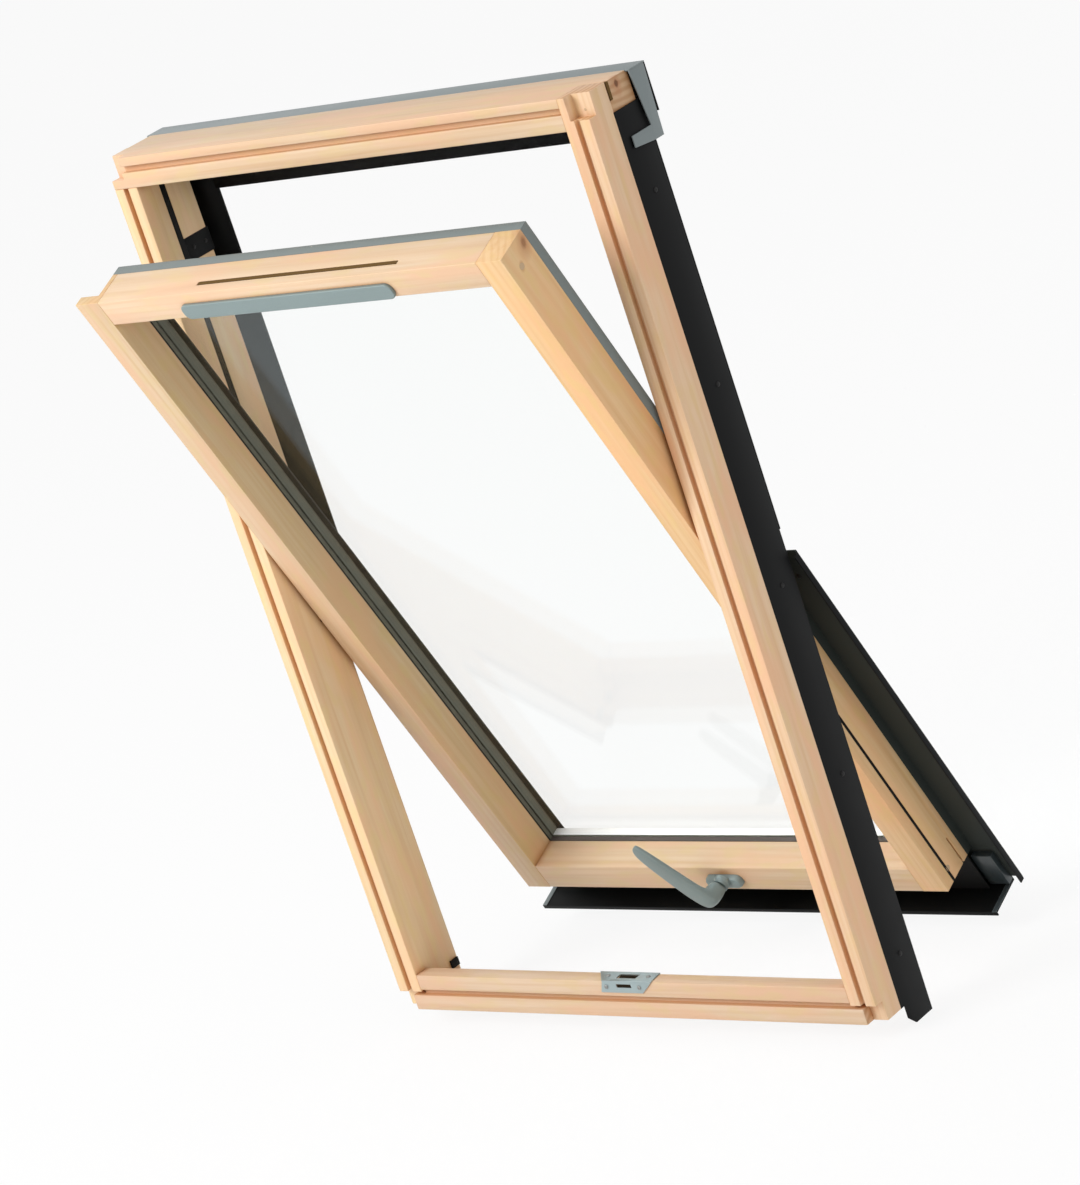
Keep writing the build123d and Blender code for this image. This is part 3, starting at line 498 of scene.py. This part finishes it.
def softened(node, width):
    """Copy of a solid with its sharp edges rounded."""
    source = nodes[node]
    mesh = source.data.copy()
    mesh.transform(source.matrix_world)
    bm = bmesh.new()
    bm.from_mesh(mesh)
    bmesh.ops.remove_doubles(bm, verts=bm.verts, dist=1e-6)
    bmesh.ops.dissolve_limit(bm, angle_limit=FLAT_UP_TO, verts=bm.verts, edges=bm.edges)
    sharp = [e for e in bm.edges if len(e.link_faces) == 2 and e.calc_face_angle(0) > SHARP_FROM]
    bmesh.ops.bevel(bm, geom=sharp, offset=width, offset_type="OFFSET", segments=2, profile=0.5,
                    affect="EDGES", clamp_overlap=True)
    bm.normal_update()
    bm.to_mesh(mesh)
    bm.free()
    obj = add(node + "_finish", mesh, LOOK[node], BODY[node], EASED_SMOOTH)
    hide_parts(node)


def dress():
    """Panes keep their own mesh, the handle is made anew below, and all else gets eased edges."""
    for node in nodes:
        if LOOK[node] is GLASS:
            nodes[node].data.materials.clear()
            nodes[node].data.materials.append(GLASS)
        elif node not in ("handle_lever", "handle_base"):
            softened(node, EASED_WOOD if SLOT[node].startswith("pine") else EASED_SHEET)


# small pieces


def stacked(bm, rings):
    """Closed skin between rings of as many points each."""
    rows = [[bm.verts.new(point) for point in ring] for ring in rings]
    count = len(rows[0])
    for low, high in zip(rows, rows[1:]):
        for k in range(count):
            bm.faces.new((low[k], low[(k + 1) % count], high[(k + 1) % count], high[k]))
    bm.faces.new(rows[0][::-1])
    bm.faces.new(rows[-1])


def finished(bm, name, look, body, smooth, shut):
    """Object of a mesh under construction; one made for the shut sash is swung open."""
    if shut:
        bmesh.ops.transform(bm, matrix=TO_OPEN, verts=bm.verts)
    bmesh.ops.recalc_face_normals(bm, faces=bm.faces)
    mesh = bpy.data.meshes.new(name)
    bm.to_mesh(mesh)
    bm.free()
    obj = add(name, mesh, look, body, smooth)
    return obj


def rectangle(a0, a1, b0, b1):
    return [(a0, b0), (a1, b0), (a1, b1), (a0, b1)]


def stadium(x0, x1, y0, y1, steps=8):
    """Outline of a slot with round ends along its first axis."""
    r = (y1 - y0) / 2
    middle = (y0 + y1) / 2
    right = [(x1 - r + r * math.sin(math.pi * k / steps), middle - r * math.cos(math.pi * k / steps))
             for k in range(steps + 1)]
    return right + [(x0 + x1 - x, y0 + y1 - y) for x, y in right]


def slab(name, outline, axis, start, thick, look, body, shut=False):
    """Flat piece from an outline in the two other axes, in their order, millimetres."""
    bm = bmesh.new()
    cut = "XYZ".index(axis)
    stacked(bm, [[Vector(at(*point[:cut], level, *point[cut:])) for point in outline]
                 for level in (start, start + thick)])
    finished(bm, name, look, body, FLAT_SMOOTH, shut)


def around(count):
    return [2 * math.pi * k / count for k in range(count)]


def on_surface(point, out):
    """Placement at a point with Z along the outward direction."""
    return Matrix.Translation(point) @ Vector(out).to_track_quat("Z", "Y").to_matrix().to_4x4()


def screws(name, places, radius, look, body, shut=False):
    """Pan head screws; places are (point, outward direction), radius in millimetres."""
    bm = bmesh.new()
    size = radius / 1000
    star = [RECESS_ARM if k % 4 == 0 else RECESS_CORE for k in range(SCREW_SEGMENTS)]
    rings = [([share] * SCREW_SEGMENTS, height) for share, height in HEAD_PROFILE]
    rings += [(star, RECESS_TOP), ([share * RECESS_TAPER for share in star], RECESS_FLOOR)]
    for point, out in places:
        place = on_surface(point, out)
        stacked(bm, [[place @ Vector((size * share * math.cos(t), size * share * math.sin(t), size * height))
                      for share, t in zip(row, around(SCREW_SEGMENTS))] for row, height in rings])
    finished(bm, name, look, body, ROUND_SMOOTH, shut)


def dowels(name, places, radius, body, shut=False):
    """Ends of wooden dowels, a hair proud of the surface; radius in millimetres."""
    bm = bmesh.new()
    size = radius / 1000
    for point, out in places:
        place = on_surface(point, out)
        stacked(bm, [[place @ Vector((size * share * math.cos(t), size * share * math.sin(t), height / 1000))
                      for t in around(SCREW_SEGMENTS)] for share, height in DOWEL_PROFILE])
    finished(bm, name, DOWEL, body, ROUND_SMOOTH, shut)


def lips(name, x, rise, depths, heights, count, body, shut=False):
    """Lips along a rubber seal, proud of its face at x."""
    bm = bmesh.new()
    front, back = depths
    pitch = (back - front) / count
    for k in range(count):
        stacked(bm, [[Vector(at(x + rise * up, front + pitch * (k + share), height))
                      for share, up in LIP_PROFILE] for height in heights])
    finished(bm, name, SEAL, body, FLAT_SMOOTH, shut)


def openings():
    """Painted shade inside openings, the edge film of the glazing unit and the folded ends of the ledge,
    painted lighter.
    """
    slab("vent_slot_shade", stadium(*VENT_SLOT), "Z", SASH_TOP - VENT_SHADE_DROP, VENT_SHADE_THICK, BROWN,
         "sash", shut=True)
    for side, name, look in ((-1, "left", GREY), (1, "right", CAP)):
        near, far, low, high = GLASS_EDGE
        slab("glass_edge_film_" + name, rectangle(side * near, side * far, low, high), "Y", GLASS_EDGE_DEPTH,
             FILM, SPACER, "sash", shut=True)
        # painted light: the ends of the ledge are lighter where light falls on them
        near, far, front, back = LEDGE_END
        slab("ledge_end_lit_" + name, rectangle(side * near, side * far, front, back), "Z", LEDGE_END_HEIGHT,
             FILM, look, "sash", shut=True)
    # painted shade: dark sheets in the pockets of the striker
    slab("striker_pocket_top", POCKET_TOP, "Z", SILL_TOP + POCKET_TOP_RISE, FILM, POCKET_SHADE, "frame")
    slab("striker_pocket_front", rectangle(*POCKET_FRONT), "Y", POCKET_FRONT_DEPTH, FILM, POCKET_SHADE,
         "frame")


def frame_screws():
    """Screws of the cladding, the fittings and the striker, and painted shade in the slot of the frame's
    corner joint.
    """
    cladding = [(at(sign * CLADDING_SIDE, CLADDING_SCREW_DEPTH, height), (sign, 0, 0))
                for sign in (-1, 1) for height in CLADDING_SCREW_HEIGHTS]
    screws("cladding_screws", cladding, CLADDING_SCREW, BLACKED, "frame")
    slab("joint_slot_shade", rectangle(*CORNER_JOINT), "X", CORNER_JOINT_SIDE, CORNER_JOINT_THICK, BROWN,
         "frame")
    fittings = [(at(sign * JAMB_INSIDE, *place), (-sign, 0, 0))
                for sign in (-1, 1) for place in FITTING_SCREWS]
    screws("fitting_screws", fittings, FITTING_SCREW, BLACKED, "frame")
    depth, rise = STRIKER_TOP
    striker = [(at(x, depth, SILL_TOP + rise), (0, 0, 1)) for x in STRIKER_TOP_SCREWS]
    striker += [(at(x, *STRIKER_FRONT), (0, -1, 0)) for x in STRIKER_FRONT_SCREWS]
    screws("striker_screws", striker, STRIKER_SCREW, SCREW, "frame")


def sash_screws():
    """Screws of the covers and the pivot plates."""
    covers = [(at(sign * COVER_SCREW_SIDE, COVER_OUT, height), (0, 1, 0))
              for sign in (-1, 1) for height in COVER_SCREW_HEIGHTS]
    covers += [(at(x, COVER_OUT, BOTTOM_SCREW_HEIGHT), (0, 1, 0)) for x in BOTTOM_SCREWS]
    screws("cover_screws", covers, COVER_SCREW, BLACKED, "sash", shut=True)
    away, height = INNER_SCREW_PLACE
    inner = [(at(sign * away, COVER_IN, height), (0, -1, 0)) for sign in (-1, 1)]
    screws("cover_inner_screws", inner, INNER_SCREW, BLACKED, "sash", shut=True)
    plates = [(at(sign * STILE_SIDE, PLATE_SCREW_DEPTH, height), (sign, 0, 0))
              for sign in (-1, 1) for height in PLATE_SCREW_HEIGHTS]
    screws("pivot_plate_screws", plates, PLATE_SCREW, SCREW, "sash", shut=True)


def joinery():
    dowels("frame_dowels", [(at(*FRAME_DOWEL_PLACE), (0, -1, 0))], FRAME_DOWEL, "frame")
    stiles = [(at(sign * STILE_SIDE, SASH_DOWEL_DEPTH, height), (sign, 0, 0))
              for sign in (-1, 1) for height in SASH_DOWEL_HEIGHTS]
    dowels("sash_dowels", stiles, SASH_DOWEL, "sash", shut=True)


def seals():
    for side, name in ((1, "right"), (-1, "left")):
        lips("jamb_seal_lips_" + name, side * JAMB_INSIDE, -side * LIP_RISE, *JAMB_LIPS, "frame")
        lips("sash_seal_lips_" + name, side * STILE_SIDE, side * LIP_RISE, *SASH_LIPS, "sash", shut=True)


# handle


def squarish(angle, size):
    """One coordinate of a rounded box section, from the cosine or sine of the angle."""
    return math.copysign(abs(angle) ** LEVER_SQUARENESS, angle) * size / 2000


def lever():
    bm = bmesh.new()
    axis = Vector(at(HANDLE_X, SASH_FRONT, HANDLE_HEIGHT))
    rings = []
    for reach, out, turn, width, thick, shift in LEVER_SECTIONS:
        centre = axis + REACH * reach / 1000 + ROOM * out / 1000 + ACROSS * shift / 1000
        facing = math.radians(turn)
        through = REACH * math.cos(facing) - ROOM * math.sin(facing)
        rings.append([centre + ACROSS * squarish(math.cos(t), width) + through * squarish(math.sin(t), thick)
                      for t in around(LEVER_POINTS)])
    stacked(bm, rings)
    obj = finished(bm, "handle_lever_finish", LEVER, "lever", LEVER_SMOOTH, shut=True)
    shape = obj.modifiers.new("round", "SUBSURF")
    shape.levels = 2
    shape.render_levels = 2
    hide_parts("handle_lever")


def base_outline(inset):
    """Outline of the base plate, its ends a little squarer than half circles."""
    left, right, low, high = BASE_BOX
    middle = (left + right) / 2
    reach = (right - left) / 2 - inset
    points = []
    for x, z in stadium(left + inset, right - inset, low + inset, high - inset):
        far = min(reach, abs(x - middle) + BASE_SQUARER)
        points.append((middle + math.copysign(far, x - middle), z))
    return points


def handle_base():
    """Base plate with the round boss that carries the lever."""
    bm = bmesh.new()
    axis = Vector(at(HANDLE_X, SASH_FRONT, HANDLE_HEIGHT))
    stacked(bm, [[Vector(at(x, SASH_FRONT - out, z)) for x, z in base_outline(inset)]
                 for inset, out in BASE_STEPS])
    stacked(bm, [[axis + ROOM * out / 1000 + Vector((math.cos(t), 0, math.sin(t))) * radius / 1000
                  for t in around(BOSS_SEGMENTS)] for radius, out in BOSS_STEPS])
    obj = finished(bm, "handle_base_finish", LEVER, "sash", EASED_SMOOTH, shut=True)
    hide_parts("handle_base")


# camera, floor and light


def camera():
    data = bpy.data.cameras.new("camera")
    data.lens = CAMERA_LENS
    data.sensor_width = CAMERA_SENSOR
    cam = bpy.data.objects.new("camera", data)
    bpy.context.collection.objects.link(cam)
    right = Vector(CAMERA_RIGHT).normalized()
    back = right.cross(Vector(CAMERA_UP)).normalized()
    up = back.cross(right)
    turn = Matrix((right, up, back)).transposed()
    cam.matrix_world = Matrix.Translation(CAMERA_PLACE) @ turn.to_4x4()
    bpy.context.scene.camera = cam


def seen(n):
    """1 for rays from the camera, mirrors and clear glass."""
    direct, mirrored, through = [n.make("LightPath", out=f"Is {kind} Ray")
                                 for kind in ("Camera", "Glossy", "Transmission")]
    return n.maths("MAXIMUM", n.maths("MAXIMUM", direct, mirrored), through)


def floor():
    half, height = FLOOR_HALF, FLOOR_HEIGHT
    mesh = bpy.data.meshes.new("floor")
    corners = [(-half, -half, height), (half, -half, height), (half, half, height), (-half, half, height)]
    mesh.from_pydata(corners, [], [(0, 1, 2, 3)])
    obj = bpy.data.objects.new("floor", mesh)
    bpy.context.collection.objects.link(obj)
    n = material("floor_white")
    matt = n.make("BsdfDiffuse", {"Color": FLOOR_TONE})
    glow = n.make("Emission", {"Color": WHITE, "Strength": 1.0})
    share = n.maths("MULTIPLY", seen(n), FLOOR_GLOW)
    mesh.materials.append(n.surface(n.make("MixShader", {0: share, 1: matt, 2: glow})))


def surroundings():
    """Soft light from all round, seen as plain white."""
    world = bpy.data.worlds.new("world")
    bpy.context.scene.world = world
    n = Nodes(world, "OutputWorld")
    soft = n.make("Background", {"Color": WHITE, "Strength": WORLD_LIGHT})
    white = n.make("Background", {"Color": WHITE, "Strength": 1.0})
    n.surface(n.make("MixShader", {0: seen(n), 1: soft, 2: white}))


def lamp(name, place, size, power, colour):
    data = bpy.data.lights.new(name, "AREA")
    data.shape = "SQUARE"
    data.size = size
    data.energy = power
    data.color = colour
    obj = bpy.data.objects.new(name, data)
    obj.location = place
    obj.rotation_euler = (Vector(LAMP_AIM) - Vector(place)).to_track_quat("-Z", "Y").to_euler()
    bpy.context.collection.objects.link(obj)


dress()
openings()
frame_screws()
sash_screws()
joinery()
seals()
lever()
handle_base()
camera()
floor()
surroundings()
lamp("key", **KEY_LAMP)
lamp("side", **SIDE_LAMP)
bpy.context.scene.view_settings.view_transform = "Standard"
